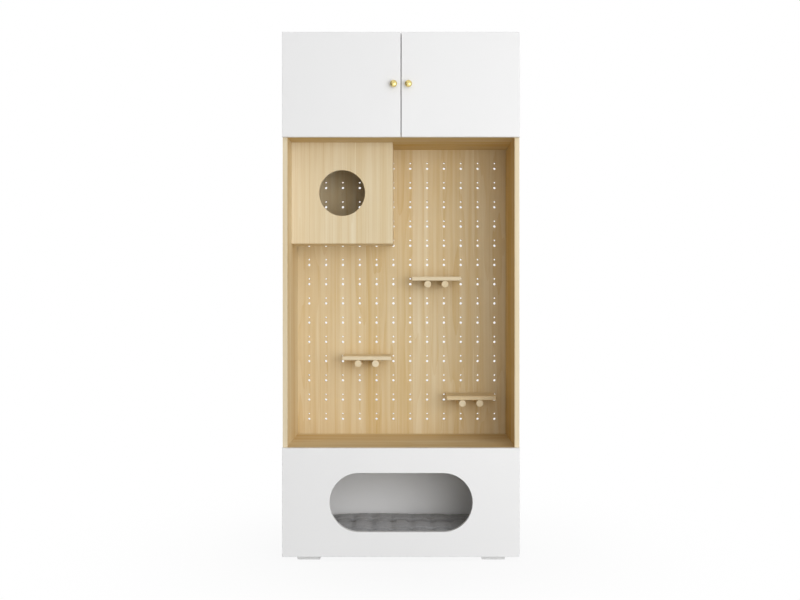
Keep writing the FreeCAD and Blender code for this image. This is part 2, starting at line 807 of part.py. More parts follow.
plate_screws = []
arm_screws = []
for side, sign in SIDES.items():
    outward = "-X" if side == "left" else "+X"
    turn = (Vector(0, 1, 0), 180) if side == "left" else (Vector(0, 1, 0), 0)
    pin_x = f"({sign} * ({half_width} - hinge_pin_inset))"
    pin_y = f"({door_back_y} - {pin_depth})"
    plate_x = f"({sign} * ({inner_half} - plate_thickness))"
    arm_x = f"({sign} * ({inner_half} - plate_thickness - arm_thickness))"
    cup_x = f"({sign} * ({half_width} - {cup_inset}))"
    cups = []
    pins = []
    arms = []
    plates = []
    for level, z in HINGE_LEVELS.items():
        label = f"{side}_{level}_hinge"
        cups.append(build_cup(label + "_cup", cup_x, z, turn))
        arm = build_arm(label + "_arm_blank", pin_x, pin_y, z, turn)
        pin_low = f"{z} - hinge_pin_length / 2"
        pin = prism(label + "_pin", PIN_FLATS, "hinge_pin_radius", "hinge_pin_length", pin_x, pin_y, pin_low, "+Z")
        pins.append(pin)
        bore = rod(label + "_bore", "cup_radius + cup_clearance", cup_depth, cup_x, door_back_y, z, "-Y")
        cut_from(f"{side}_door", bore)
        plate = block(
            label + "_plate_blank",
            "plate_thickness",
            "plate_length",
            "plate_height",
            f"-{inner_half}" if side == "left" else plate_x,
            f"{pin_y} + {plate_front}",
            f"{z} - plate_height / 2",
        )
        screw_y = f"({pin_y} + {plate_middle})"
        arm_bite = "(arm_thickness + plate_thickness - screw_clearance)"
        fastener, arm_hole = screw(label + "_arm_screw", arm_bite, arm_x, screw_y, z, outward)
        arm_screws.append(fastener)
        plate_cuts = [arm_hole]
        for place, shift in (("low", "-1"), ("high", "1")):
            screw_z = f"{z} + {shift} * plate_screw_spacing / 2"
            screw_label = f"{label}_{place}_plate_screw"
            bite = "(plate_thickness + plate_screw_bite)"
            fastener, hole = screw(screw_label, bite, plate_x, screw_y, screw_z, outward)
            plate_screws.append(fastener)
            plate_cuts.append(hole)
            cut_from(f"upper_{side}_side", hole)
        plates.append(carve(label + "_plate", plate, plate_cuts))
        arms.append(carve(label + "_arm", arm, [arm_hole]))
    finish(f"{side}_hinge_cups", group(f"{side}_hinge_cups", cups))
    finish(f"{side}_hinge_pins", group(f"{side}_hinge_pins", pins))
    finish(f"{side}_hinge_arms", group(f"{side}_hinge_arms", arms))
    finish(f"{side}_hinge_plates", group(f"{side}_hinge_plates", plates))

    knob_x = f"({sign} * (door_gap / 2 + knob_edge_inset))"
    knob_z = f"({ceiling_z} + upper_height / 2)"
    knob = new_body(f"{side}_knob_blank")
    turn_body(knob, [(f"{r} * knob_radius", f"{y} * knob_length") for r, y in KNOB_PROFILE_SHARES])
    put(knob, knob_x, f"{door_back_y} - front_thickness", knob_z, (Vector(0, 0, 1), 180))
    knob_bite = "(front_thickness + knob_screw_bite)"
    fastener, hole = screw(f"{side}_knob_fastener", knob_bite, knob_x, door_back_y, knob_z, "-Y")
    cut_from(f"{side}_knob", hole)
    cut_from(f"{side}_door", hole)
    finish(f"{side}_knob", knob)
    finish(f"{side}_knob_screw", fastener)

    door = new_body(f"{side}_door_blank")
    sketch = sketch_on(door, "XZ_Plane")
    draw_rectangle(sketch, "0", "0", door_width, "upper_height")
    pad(door, sketch, "front_thickness")
    ease_front(door, "edge_bevel", "front_thickness")
    door_x = f"-{half_width}" if side == "left" else "door_gap / 2"
    put(door, door_x, door_back_y, ceiling_z)
    finish(f"{side}_door", door)
finish("hinge_plate_screws", group("hinge_plate_screws", plate_screws))
finish("hinge_arm_screws", group("hinge_arm_screws", arm_screws))


# Boards of the three boxes: full-width horizontals, with the sides standing between them.
for name, low_z in (
    ("bottom_board", "foot_height"),
    ("middle_floor", floor_under_z),
    ("middle_ceiling", ceiling_z),
    ("top_board", top_under_z),
):
    board = block(
        name + "_blank", "overall_width", "carcass_depth", "board_thickness", f"-{half_width}", front_y, low_z
    )
    finish(name, board)
for level, low_z, high_z in (
    ("lower", bottom_top_z, floor_under_z),
    ("middle", floor_z, ceiling_z),
    ("upper", ceiling_top_z, top_under_z),
):
    for side, left_x in (("left", f"-{half_width}"), ("right", inner_half)):
        name = f"{level}_{side}_side"
        height = f"{high_z} - {low_z}"
        board = block(name + "_blank", "board_thickness", "carcass_depth", height, left_x, front_y, low_z)
        finish(name, board)


# Bed cushion: a flat-bottomed pad whose sides are drawn in between the corners and swell above half height. Two
# seams run along its length and sewn channels cross it, so the top stands in rows of soft lumps.
length = amount(f"{inner_width} - 2 * cushion_clearance")
depth = amount(f"{back_panel_y} - {front_y} - 2 * cushion_clearance")
first_seam = amount("seam_front_inset - cushion_clearance")
seams = [first_seam, first_seam + amount("seam_pitch")]
lumps = round(length / amount("channel_pitch"))
LUMP_SHARES = [(0, 0), (0.28, 0.9), (0.72, 0.9), (1, 0)]
END_HEIGHT_SHARE = 0.7


def cushion_section(x, puff, height):
    """One closed outline across the cushion, with a lump between each two seams."""
    swell = amount("cushion_swell")
    front = swell + amount("cushion_draw_in") * (1 - (2 * x / length) ** 2)
    rear = depth - front
    shoulder = height - amount("cushion_shoulder")
    points = [(front, 0), (front - swell, shoulder), (front, height + puff)]
    rows = [front, *seams, rear]
    for start, end in zip(rows, rows[1:]):
        for along, up in LUMP_SHARES[1:]:
            points.append((start + (end - start) * along, height + puff + amount("cushion_crown") * up))
    points += [(rear + swell, shoulder), (rear, 0), (front, 0)]
    return Part.makePolygon([Vector(x, y, z) for y, z in points])


low = amount("cushion_height - channel_depth")
sections = [cushion_section(-length / 2, 0, low * END_HEIGHT_SHARE)]
for lump in range(lumps):
    for along, up in LUMP_SHARES[1:]:
        at_end = lump + along == lumps
        x = length * ((lump + along) / lumps - 1 / 2)
        sections.append(cushion_section(x, amount("channel_depth") * up, low * END_HEIGHT_SHARE if at_end else low))
cushion = doc.addObject("Part::Feature", "bed_cushion")
cushion.Shape = Part.makeLoft(sections, True, True)
cushion.Placement = Placement(Vector(0, amount(f"{front_y} + cushion_clearance"), amount(bottom_top_z)), Rotation())
finish("bed_cushion", cushion)


# Check every object and solid, then write one file for each node.
doc.recompute()
for item in doc.Objects:
    if "Invalid" in item.State or "Error" in item.State:
        raise ValueError(f"{item.Label} failed: {item.State}")
os.makedirs("parts", exist_ok=True)
for item in nodes:
    if item.Shape.isNull() or not item.Shape.isValid() or not item.Shape.Solids:
        raise ValueError(f"{item.Label} has no valid solid")
for item in nodes:
    item.Shape.exportStep(f"parts/{item.Label}.step")
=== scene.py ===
import math

import bmesh
import bpy
from mathutils import Matrix, Vector


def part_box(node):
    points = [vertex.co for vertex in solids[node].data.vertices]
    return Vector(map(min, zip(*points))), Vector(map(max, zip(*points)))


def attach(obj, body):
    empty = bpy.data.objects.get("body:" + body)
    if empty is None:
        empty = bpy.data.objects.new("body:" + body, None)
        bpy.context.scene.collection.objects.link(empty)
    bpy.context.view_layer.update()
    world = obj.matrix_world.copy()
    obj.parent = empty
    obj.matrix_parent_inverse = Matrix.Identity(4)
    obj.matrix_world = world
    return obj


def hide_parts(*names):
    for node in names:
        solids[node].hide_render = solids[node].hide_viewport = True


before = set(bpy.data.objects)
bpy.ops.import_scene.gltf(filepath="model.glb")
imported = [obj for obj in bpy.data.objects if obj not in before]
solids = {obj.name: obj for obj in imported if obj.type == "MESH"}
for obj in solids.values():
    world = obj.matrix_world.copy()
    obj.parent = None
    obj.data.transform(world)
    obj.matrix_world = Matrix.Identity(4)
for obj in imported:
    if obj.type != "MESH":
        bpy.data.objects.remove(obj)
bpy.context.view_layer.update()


# Bed box: boards sprayed with white satin lacquer on every face, joined by hidden splines. The front panel
# is glued over the front edges of the box, with a long round-ended opening cut out and its edges eased.
BED_BOX_BOARDS = [
    "bottom_board",
    "lower_left_side",
    "lower_right_side",
    "lower_back_panel",
    "lower_front_panel",
]
LACQUER_WHITE = (0.90, 0.90, 0.90, 1)
LACQUER_SHADE = (0.88, 0.88, 0.88, 1)
LACQUER_ROUGHNESS = 0.42
FILM_GLOSS_SPREAD = 0.14
PEEL_DENSITY = 420.0
PEEL_HEIGHT = 0.00005
HANDLING_DENSITY = 3.5


def connect(tree, socket, value):
    """Give a socket a value, or link it to another node's socket."""
    if isinstance(value, bpy.types.NodeSocket):
        tree.links.new(value, socket)
    else:
        socket.default_value = value


def add_node(tree, kind, inputs=None, **settings):
    """Add a shader node with its settings and its inputs, which are values or other nodes' sockets."""
    node = tree.nodes.new(kind)
    for name, value in settings.items():
        setattr(node, name, value)
    for name, value in (inputs or {}).items():
        connect(tree, node.inputs[name], value)
    return node


def calc(tree, operation, *values, clamp=False):
    """One step of arithmetic on values that change over the surface."""
    inputs = dict(enumerate(values))
    return add_node(tree, "ShaderNodeMath", inputs, operation=operation, use_clamp=clamp).outputs[0]


def blend_colour(tree, share, first, second):
    """Blend two colours by a share from 0 to 1."""
    node = add_node(tree, "ShaderNodeMix", data_type="RGBA")
    factor, first_socket, second_socket = node.inputs[0], node.inputs[6], node.inputs[7]
    connect(tree, factor, share)
    connect(tree, first_socket, first)
    connect(tree, second_socket, second)
    return node.outputs[2]


def noise(tree, vector, scale=1.0, detail=3.0, roughness=0.5):
    """Cloudy noise between 0 and 1."""
    inputs = {"Vector": vector, "Scale": scale, "Detail": detail, "Roughness": roughness}
    return add_node(tree, "ShaderNodeTexNoise", inputs).outputs[0]


def stretched(tree, vector, scale):
    """Coordinates scaled by a different number each way."""
    return add_node(tree, "ShaderNodeMapping", {"Vector": vector, "Scale": scale}).outputs[0]


def object_place(tree):
    return add_node(tree, "ShaderNodeTexCoord").outputs["Object"]


def new_group(name, inputs, outputs):
    """A shader node group with named sockets: the group, its inner input sockets and its output node."""
    group = bpy.data.node_groups.new(name, "ShaderNodeTree")
    for label, kind in inputs.items():
        group.interface.new_socket(label, in_out="INPUT", socket_type=kind)
    for label, kind in outputs.items():
        group.interface.new_socket(label, in_out="OUTPUT", socket_type=kind)
    return group, group.nodes.new("NodeGroupInput").outputs, group.nodes.new("NodeGroupOutput")


def place_group(tree, group, inputs):
    """Place a group in a material with its own values, and give its outputs."""
    node = add_node(tree, "ShaderNodeGroup", node_tree=group)
    for name, value in inputs.items():
        connect(tree, node.inputs[name], value)
    return node.outputs


def new_material(name, roughness=0.5, metallic=0.0):
    """A material with its node tree and its surface shader."""
    material = bpy.data.materials.new(name)
    material.use_nodes = True
    shader = material.node_tree.nodes["Principled BSDF"]
    shader.inputs["Roughness"].default_value = roughness
    shader.inputs["Metallic"].default_value = metallic
    return material, material.node_tree, shader


def raise_surface(tree, shader, height, distance, strength=1.0):
    """Fine relief of the given height, in metres."""
    inputs = {"Height": height, "Distance": distance, "Strength": strength}
    bump = add_node(tree, "ShaderNodeBump", inputs)
    tree.links.new(bump.outputs["Normal"], shader.inputs["Normal"])


def cover(material, *pieces):
    """Give whole pieces one material."""
    for piece in pieces:
        piece.data.materials.clear()
        piece.data.materials.append(material)


COLOUR, NUMBER = "NodeSocketColor", "NodeSocketFloat"
sprayed_film, given, result = new_group(
    "sprayed_film",
    {"Colour": COLOUR, "Shade": COLOUR, "Roughness": NUMBER},
    {"Colour": COLOUR, "Roughness": NUMBER, "Height": NUMBER},
)
film_place = object_place(sprayed_film)
orange_peel = noise(sprayed_film, film_place, scale=PEEL_DENSITY, detail=2.0)
handling = noise(sprayed_film, film_place, scale=HANDLING_DENSITY, detail=5.0)
film_colour = blend_colour(sprayed_film, handling, given["Colour"], given["Shade"])
film_gloss = calc(sprayed_film, "MULTIPLY_ADD", handling, FILM_GLOSS_SPREAD, given["Roughness"])
connect(sprayed_film, result.inputs["Colour"], film_colour)
connect(sprayed_film, result.inputs["Roughness"], film_gloss)
connect(sprayed_film, result.inputs["Height"], orange_peel)


def sprayed(name, colour, shade, roughness):
    """A sprayed coat with a very fine orange peel and slightly uneven gloss."""
    material, tree, shader = new_material(name)
    film = place_group(tree, sprayed_film, {"Colour": colour, "Shade": shade, "Roughness": roughness})
    connect(tree, shader.inputs["Base Color"], film["Colour"])
    connect(tree, shader.inputs["Roughness"], film["Roughness"])
    raise_surface(tree, shader, film["Height"], distance=PEEL_HEIGHT)
    return material


white_lacquer = sprayed("white_lacquer", LACQUER_WHITE, LACQUER_SHADE, LACQUER_ROUGHNESS)
cover(white_lacquer, *(solids[name] for name in BED_BOX_BOARDS))


# Feet: low tapered blocks of moulded pale grey plastic under the corners of the bottom board. A countersunk
# screw goes up through each one from below.
FEET = ["front_left_foot", "front_right_foot", "rear_left_foot", "rear_right_foot"]
FOOT_GREY = (0.93, 0.93, 0.92, 1)
FOOT_SHADE = (0.88, 0.88, 0.87, 1)
FOOT_ROUGHNESS = 0.55
NICKEL = (0.68, 0.67, 0.65, 1)
NICKEL_SHADE = (0.52, 0.51, 0.50, 1)
NICKEL_ROUGHNESS = 0.26
NICKEL_GLOSS_SPREAD = 0.15
ROLL_LINE_DENSITY = (900.0, 60.0, 900.0)
ROLL_LINE_HEIGHT = 0.00003
cover(sprayed("foot_plastic", FOOT_GREY, FOOT_SHADE, FOOT_ROUGHNESS), *(solids[name] for name in FEET))

nickel_plate, tree, shader = new_material("nickel_plate", metallic=1.0)
roll_lines = noise(tree, stretched(tree, object_place(tree), ROLL_LINE_DENSITY), detail=3.0)
nickel_gloss = calc(tree, "MULTIPLY_ADD", roll_lines, NICKEL_GLOSS_SPREAD, NICKEL_ROUGHNESS)
connect(tree, shader.inputs["Base Color"], blend_colour(tree, roll_lines, NICKEL, NICKEL_SHADE))
connect(tree, shader.inputs["Roughness"], nickel_gloss)
raise_surface(tree, shader, roll_lines, distance=ROLL_LINE_HEIGHT)
cover(nickel_plate, solids["foot_screws"])


# Bed cushion: a quilted pad of ribbed grey plush over soft filling, which lies loose in the box. Seams along
# it and channels across it are sewn down through the filling, and it swells between them and at its rear.
CLOTH_VOXEL = 0.006
SWELL_LIMIT = 0.008
SWELL_PRESSURE = 4.0
SWELL_FRAMES = 20
CHANNEL_PITCH = 0.078
SEAMS_FROM_FRONT = (0.069, 0.228)
SEWN_REACH = 0.006
TUFT_DEPTH = 0.016
TUFT_REACH = 0.017
CHANNEL_FILL = 0.002
BORDER_START = 0.4
BORDER_END = 0.9
BORDER_SINK = 0.0098
BORDER_RISE = 0.007
BORDER_FIRMNESS = 0.9
RIB_PITCH = 0.024
RIB_HEIGHT = 0.0046
RIB_DRIFT = 2.0
# How strongly the plush is painted darker in the rib valleys and lighter on their crests, as painted shade.
RIB_PAINTED_SHADE = 0.16
PLUSH_GREY = (0.22, 0.22, 0.23, 1)
PLUSH_LIGHT = (0.52, 0.52, 0.53, 1)
PLUSH_CONTRAST = 1.5
PILE_DENSITY = (160.0, 520.0, 520.0)
PILE_HEIGHT = 0.003
BRUSHED_DENSITY = 34.0


def settled_mesh(piece):
    """The piece's mesh with its modifiers applied."""
    graph = bpy.context.evaluated_depsgraph_get()
    return bpy.data.meshes.new_from_object(piece.evaluated_get(graph))


def new_piece(name, mesh):
    piece = bpy.data.objects.new(name, mesh)
    bpy.context.scene.collection.objects.link(piece)
    return piece


def stand_for(piece, body, slot, *nodes):
    """The piece rides on a body and stands for CAD nodes, which are hidden. The slot argument is not used.
    """
    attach(piece, body)
    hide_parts(*nodes)


cushion_low, cushion_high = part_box("bed_cushion")
cushion_middle = (cushion_low + cushion_high) / 2
blank = bmesh.new()
blank.from_mesh(solids["bed_cushion"].data)
bmesh.ops.remove_doubles(blank, verts=blank.verts, dist=0.00001)
cushion = new_piece("bed_cushion_cover", bpy.data.meshes.new("bed_cushion_cover"))
blank.to_mesh(cushion.data)
blank.free()
even_cloth = cushion.modifiers.new("even_cloth", "REMESH")
even_cloth.mode = "VOXEL"
even_cloth.voxel_size = CLOTH_VOXEL
cushion.data = settled_mesh(cushion)
cushion.modifiers.clear()


def sewing_distances(point):
    """How far a point of the cover lies from the nearest channel and from the nearest seam."""
    pitches = (point.x - cushion_middle.x) / CHANNEL_PITCH + 0.5
    to_channel = abs(pitches - round(pitches)) * CHANNEL_PITCH
    to_seam = min(abs(point.y - cushion_low.y - inset) for inset in SEAMS_FROM_FRONT)
    return to_channel, to_seam


sewn = cushion.vertex_groups.new(name="sewn")
for vertex in cushion.data.vertices:
    resting = vertex.co.z < cushion_low.z + CLOTH_VOXEL
    stitched = vertex.co.z > cushion_middle.z and min(sewing_distances(vertex.co)) < SEWN_REACH
    if resting or stitched:
        sewn.add([vertex.index], 1.0, "REPLACE")
unswollen = [vertex.co.copy() for vertex in cushion.data.vertices]
filling = cushion.modifiers.new("filling", "CLOTH")
filling.settings.use_pressure = True
filling.settings.uniform_pressure_force = SWELL_PRESSURE
filling.settings.vertex_group_mass = "sewn"
filling.settings.effector_weights.gravity = 0.0
for frame_number in range(1, SWELL_FRAMES + 1):
    bpy.context.scene.frame_set(frame_number)
cushion.data = settled_mesh(cushion)
cushion.modifiers.clear()
bpy.context.scene.frame_set(1)
rear_seam = cushion_low.y + SEAMS_FROM_FRONT[1]
rear_run = cushion_high.y - rear_seam
for vertex, start in zip(cushion.data.vertices, unswollen):
    swell = vertex.co - start
    if swell.length > SWELL_LIMIT:
        vertex.co = start + swell * (SWELL_LIMIT / swell.length)
    if start.z > cushion_middle.z:
        to_channel, to_seam = sewing_distances(start)
        tuft = math.exp(-(to_channel**2 + to_seam**2) / TUFT_REACH**2)
        rib = math.cos(math.tau * start.y / RIB_PITCH + RIB_DRIFT * math.sin(start.x / CHANNEL_PITCH))
        vertex.co.z += CHANNEL_FILL * math.exp(-((to_channel / TUFT_REACH) ** 2))
        past_seam = (start.y - rear_seam) / rear_run
        border = min(max((past_seam - BORDER_START) / (BORDER_END - BORDER_START), 0.0), 1.0)
        bulge = 1 - ((start.x - cushion_middle.x) / (cushion_high.x - cushion_middle.x)) ** 2
        rim = cushion_high.z - BORDER_SINK + BORDER_RISE * bulge
        vertex.co.z += (rim - vertex.co.z) * border * border * (3 - 2 * border) * BORDER_FIRMNESS
        vertex.co.z += RIB_HEIGHT * rib - TUFT_DEPTH * tuft
    vertex.co.z = max(vertex.co.z, cushion_low.z)
cushion.data.shade_smooth()
cushion.modifiers.new("soft", "SUBSURF")

plush, tree, shader = new_material("grey_plush", roughness=0.95)
plush_place = object_place(tree)
pile = noise(tree, stretched(tree, plush_place, PILE_DENSITY), detail=4.0)
brushed = noise(tree, plush_place, scale=BRUSHED_DENSITY, detail=5.0, roughness=0.65)
fluff = calc(tree, "MULTIPLY", calc(tree, "ADD", pile, brushed), 0.5)
plush_axes = add_node(tree, "ShaderNodeSeparateXYZ", {"Vector": plush_place}).outputs
rib_sway = calc(tree, "SINE", calc(tree, "DIVIDE", plush_axes["X"], CHANNEL_PITCH))
rib_shift = calc(tree, "MULTIPLY", rib_sway, RIB_DRIFT)
rib_turn = calc(tree, "MULTIPLY_ADD", plush_axes["Y"], math.tau / RIB_PITCH, rib_shift)
# Painted shade: the plush is painted darker in the valleys of the ribs and lighter on their crests,
# following the ribs' relief.
rib_painted_shade = calc(tree, "MULTIPLY_ADD", calc(tree, "COSINE", rib_turn), RIB_PAINTED_SHADE, 0.5)
uneven = calc(tree, "SUBTRACT", fluff, 0.5)
pile_tone_and_rib_shade = calc(tree, "MULTIPLY_ADD", uneven, PLUSH_CONTRAST, rib_painted_shade, clamp=True)
connect(tree, shader.inputs["Base Color"], blend_colour(tree, pile_tone_and_rib_shade, PLUSH_GREY, PLUSH_LIGHT))
raise_surface(tree, shader, fluff, distance=PILE_HEIGHT, strength=0.7)
shader.inputs["Sheen Weight"].default_value = 0.25
shader.inputs["Sheen Roughness"].default_value = 0.6
cover(plush, cushion)
stand_for(cushion, "cabinet", "grey_fabric", "bed_cushion")


# Wooden middle: floor, sides and ceiling of edge-glued pine staves, sanded and rubbed with clear matt oil.
# Their front edges are painted lighter as painted light, and each board is painted darker as painted shade,
# most on the right side and the ceiling. The boards are joined by plywood splines glued into grooves.
PINE_LIGHT = (0.86, 0.77, 0.58, 1)
PINE_DARK = (0.60, 0.40, 0.13, 1)
USUAL_DARKNESS = 0.30
FRONT_EDGE_PAINTED_LIGHT = -0.08
FRONT_EDGE_LIGHT_DEPTH = 0.004
STAVE_WIDTH = 0.064
STAVE_SEED_STEP = 7.31
STAVE_CONTRAST = 0.24
PLY_LAYER = 0.0015
RING_SPACING = 0.006
RING_MEAN = 0.33
RING_CONTRAST = 0.15
PITH_REACH = 0.05
PITH_WANDER = 0.02
RIPPLE_REACH = 0.012
STREAK_CONTRAST = 0.66
FIBRE_CONTRAST = 0.26
CLOUD_CONTRAST = 0.28
GLUE_LINE_REACH = 0.0004
GLUE_LINE_CONTRAST = 0.5
OILED_ROUGHNESS = 0.50
OILED_GLOSS_SPREAD = 0.16
GRAIN_HEIGHT = 0.00012
middle_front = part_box("middle_floor")[0].y

pine, given, result = new_group(
    "edge_glued_pine",
    dict.fromkeys(("Along", "Across", "Through", "Stave Width", "Seed", "Painted Shade"), NUMBER),
    {"Colour": COLOUR, "Roughness": NUMBER, "Height": NUMBER},
)


def grain_noise(length, width, seed, detail=3.0):
    """Noise drawn out along the grain, with features of about the given length and width in metres."""
    parts = {
        "X": calc(pine, "MULTIPLY_ADD", given["Along"], 1 / length, seed),
        "Y": calc(pine, "MULTIPLY", given["Across"], 1 / width),
        "Z": calc(pine, "MULTIPLY", given["Through"], 1 / width),
    }
    return noise(pine, add_node(pine, "ShaderNodeCombineXYZ", parts).outputs[0], detail=detail)


stave_place = calc(pine, "ADD", calc(pine, "DIVIDE", given["Across"], given["Stave Width"]), given["Seed"])
stave_seed = calc(pine, "MULTIPLY_ADD", calc(pine, "FLOOR", stave_place), STAVE_SEED_STEP, given["Seed"])
stave_share = calc(pine, "FRACT", stave_place)
chance = add_node(pine, "ShaderNodeTexWhiteNoise", {"W": stave_seed}, noise_dimensions="1D").outputs
luck = add_node(pine, "ShaderNodeSeparateColor", {"Color": chance["Color"]}).outputs

bend = add_node(
    pine,
    "ShaderNodeTexNoise",
    {"W": calc(pine, "MULTIPLY_ADD", given["Along"], 0.8, stave_seed), "Scale": 1.0, "Detail": 1.0},
    noise_dimensions="1D",
).outputs[0]
pith_across = calc(pine, "MULTIPLY", calc(pine, "SUBTRACT", stave_share, luck["Red"]), given["Stave Width"])
pith_depth = calc(pine, "ADD", given["Through"], calc(pine, "MULTIPLY", luck["Green"], PITH_REACH))
pith_depth = calc(pine, "MULTIPLY_ADD", bend, PITH_WANDER, pith_depth)
depth_square = calc(pine, "MULTIPLY", pith_depth, pith_depth)
radius_square = calc(pine, "MULTIPLY_ADD", pith_across, pith_across, depth_square)
ripple = grain_noise(0.5, 0.05, stave_seed, detail=2.0)
ring_radius = calc(pine, "MULTIPLY_ADD", ripple, RIPPLE_REACH, calc(pine, "SQRT", radius_square))
ring = calc(pine, "POWER", calc(pine, "FRACT", calc(pine, "DIVIDE", ring_radius, RING_SPACING)), 2.0)

fibre = grain_noise(0.12, 0.0011, stave_seed)
streak = grain_noise(0.9, 0.016, stave_seed)
cloud = grain_noise(0.6, 0.09, stave_seed, detail=1.0)
# Painted shade: each board's own darkening for the shade that falls on it, added to the wood's usual
# darkness; a value below zero paints light.
darkness = calc(pine, "ADD", given["Painted Shade"], USUAL_DARKNESS)
darkness = calc(pine, "MULTIPLY_ADD", calc(pine, "SUBTRACT", ring, RING_MEAN), RING_CONTRAST, darkness)
for layer, contrast in (
    (streak, STREAK_CONTRAST),
    (fibre, FIBRE_CONTRAST),
    (cloud, CLOUD_CONTRAST),
    (luck["Blue"], STAVE_CONTRAST),
):
    darkness = calc(pine, "MULTIPLY_ADD", calc(pine, "SUBTRACT", layer, 0.5), contrast, darkness)
darkness = calc(pine, "MAXIMUM", calc(pine, "MINIMUM", darkness, 1.0), 0.0)
edge_share = calc(pine, "MINIMUM", stave_share, calc(pine, "SUBTRACT", 1.0, stave_share))
edge_distance = calc(pine, "MULTIPLY", edge_share, given["Stave Width"])
glue_line = calc(pine, "LESS_THAN", edge_distance, GLUE_LINE_REACH)
glue_shade = calc(pine, "MULTIPLY", glue_line, GLUE_LINE_CONTRAST)
pine_colour = blend_colour(pine, darkness, PINE_LIGHT, PINE_DARK)
pine_colour = blend_colour(pine, glue_shade, pine_colour, PINE_DARK)
pine_gloss = calc(pine, "MULTIPLY_ADD", fibre, OILED_GLOSS_SPREAD, OILED_ROUGHNESS)
grain_height = calc(pine, "SUBTRACT", calc(pine, "ADD", fibre, ring), glue_line)
connect(pine, result.inputs["Colour"], pine_colour)
connect(pine, result.inputs["Roughness"], pine_gloss)
connect(pine, result.inputs["Height"], grain_height)


def oiled_pine(name, grain, seed, stave_width=STAVE_WIDTH, painted_shade=0.0, lit_front_edges=False):
    """Pine with its grain along the first axis of an order such as ZXY, and its staves across the second."""
    material, tree, shader = new_material(name)
    axes = add_node(tree, "ShaderNodeSeparateXYZ", {"Vector": object_place(tree)}).outputs
    along, across, through = (axes[axis] for axis in grain)
    # Painted light: the board's front edge is painted lighter than the rest of the board, where the light
    # falls on it.
    if lit_front_edges:
        lit_front_edge = calc(tree, "LESS_THAN", axes["Y"], middle_front + FRONT_EDGE_LIGHT_DEPTH)
        painted_shade = calc(tree, "MULTIPLY_ADD", lit_front_edge, FRONT_EDGE_PAINTED_LIGHT - painted_shade, painted_shade)
    wood = place_group(
        tree,
        pine,
        {
            "Along": along,
            "Across": across,
            "Through": through,
            "Stave Width": stave_width,
            "Seed": seed,
            "Painted Shade": painted_shade,
        },
    )
    connect(tree, shader.inputs["Base Color"], wood["Colour"])
    connect(tree, shader.inputs["Roughness"], wood["Roughness"])
    shader.inputs["Specular IOR Level"].default_value = 0.15
    raise_surface(tree, shader, wood["Height"], distance=GRAIN_HEIGHT)
    return material


# Painted shade: these boards are painted darker for the shade that falls on them inside the middle, the
# right side and the ceiling most.
cover(oiled_pine("floor_pine", "XYZ", 3.42, painted_shade=0.25, lit_front_edges=True), solids["middle_floor"])
cover(oiled_pine("left_side_pine", "ZYX", 11.65, painted_shade=0.20, lit_front_edges=True), solids["middle_left_side"])
cover(oiled_pine("right_side_pine", "ZYX", 24.18, painted_shade=0.60, lit_front_edges=True), solids["middle_right_side"])
cover(oiled_pine("ceiling_pine", "XYZ", 38.77, painted_shade=0.55, lit_front_edges=True), solids["middle_ceiling"])
spline_ply = oiled_pine("spline_ply", "XZY", 41.3, stave_width=PLY_LAYER)
cover(spline_ply, solids["carcass_splines"], solids["cubby_splines"])


# Pegboard: the wooden back of the middle. Pairs of holes are bored right through it on a grid, a large one
# for a peg's tenon and a small one above it for a step's pin, and their rims are lightly broken.
COLUMN_COUNT = 12
COLUMN_PITCH = 0.070
ROW_COUNT = 14
ROW_PITCH = 0.080
FIRST_ROW_HEIGHT = 0.061
LARGE_HOLE_RADIUS = 0.00508
LARGE_HOLE_POINTS = 24
SMALL_HOLE_RADIUS = 0.00348
SMALL_HOLE_POINTS = 20
RIM_EASE = 0.0004
board_low, board_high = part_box("pegboard")
pin_low, pin_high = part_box("upper_step_pins")
peg_low, peg_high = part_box("upper_step_pegs")
hole_rise = (pin_low.z + pin_high.z - peg_low.z - peg_high.z) / 2


def draw_loop(curve, points):
    """Add a closed outline of straight runs to a flat curve."""
    loop = curve.splines.new("POLY")
    loop.points.add(len(points) - 1)
    for point, (x, y) in zip(loop.points, points):
        point.co = (x, y, 0, 1)
    loop.use_cyclic_u = True


def circle_points(x, y, radius, count):
    turns = (math.tau * step / count for step in range(count))
    return [(x + radius * math.cos(turn), y + radius * math.sin(turn)) for turn in turns]


drawing = bpy.data.curves.new("pegboard_outline", "CURVE")
drawing.dimensions = "2D"
drawing.fill_mode = "BOTH"
drawing.extrude = (board_high.y - board_low.y) / 2 - RIM_EASE
drawing.bevel_depth = RIM_EASE
drawing.bevel_resolution = 1
left, right = board_low.x + RIM_EASE, board_high.x - RIM_EASE
bottom, top = board_low.z + RIM_EASE, board_high.z - RIM_EASE
draw_loop(drawing, [(left, bottom), (right, bottom), (right, top), (left, top)])
for column in range(COLUMN_COUNT):
    for row in range(ROW_COUNT):
        x = (column - (COLUMN_COUNT - 1) / 2) * COLUMN_PITCH
        z = board_low.z + FIRST_ROW_HEIGHT + row * ROW_PITCH
        large_hole = circle_points(x, z, LARGE_HOLE_RADIUS + RIM_EASE, LARGE_HOLE_POINTS)
        small_hole = circle_points(x, z + hole_rise, SMALL_HOLE_RADIUS + RIM_EASE, SMALL_HOLE_POINTS)
        draw_loop(drawing, large_hole)
        draw_loop(drawing, small_hole)
outline = new_piece("pegboard_outline", drawing)
pegboard = new_piece("bored_pegboard", settled_mesh(outline))
bpy.data.objects.remove(outline)
upright = Matrix.Rotation(math.pi / 2, 4, "X")
pegboard.data.transform(Matrix.Translation((0, (board_low.y + board_high.y) / 2, 0)) @ upright)
pegboard.data.set_sharp_from_angle(angle=math.radians(30))
# Painted shade: the pegboard is painted darker for the shade at the back of the middle.
cover(oiled_pine("pegboard_pine", "ZXY", 52.30, painted_shade=0.22), pegboard)
stand_for(pegboard, "cabinet", "light_wood", "pegboard")


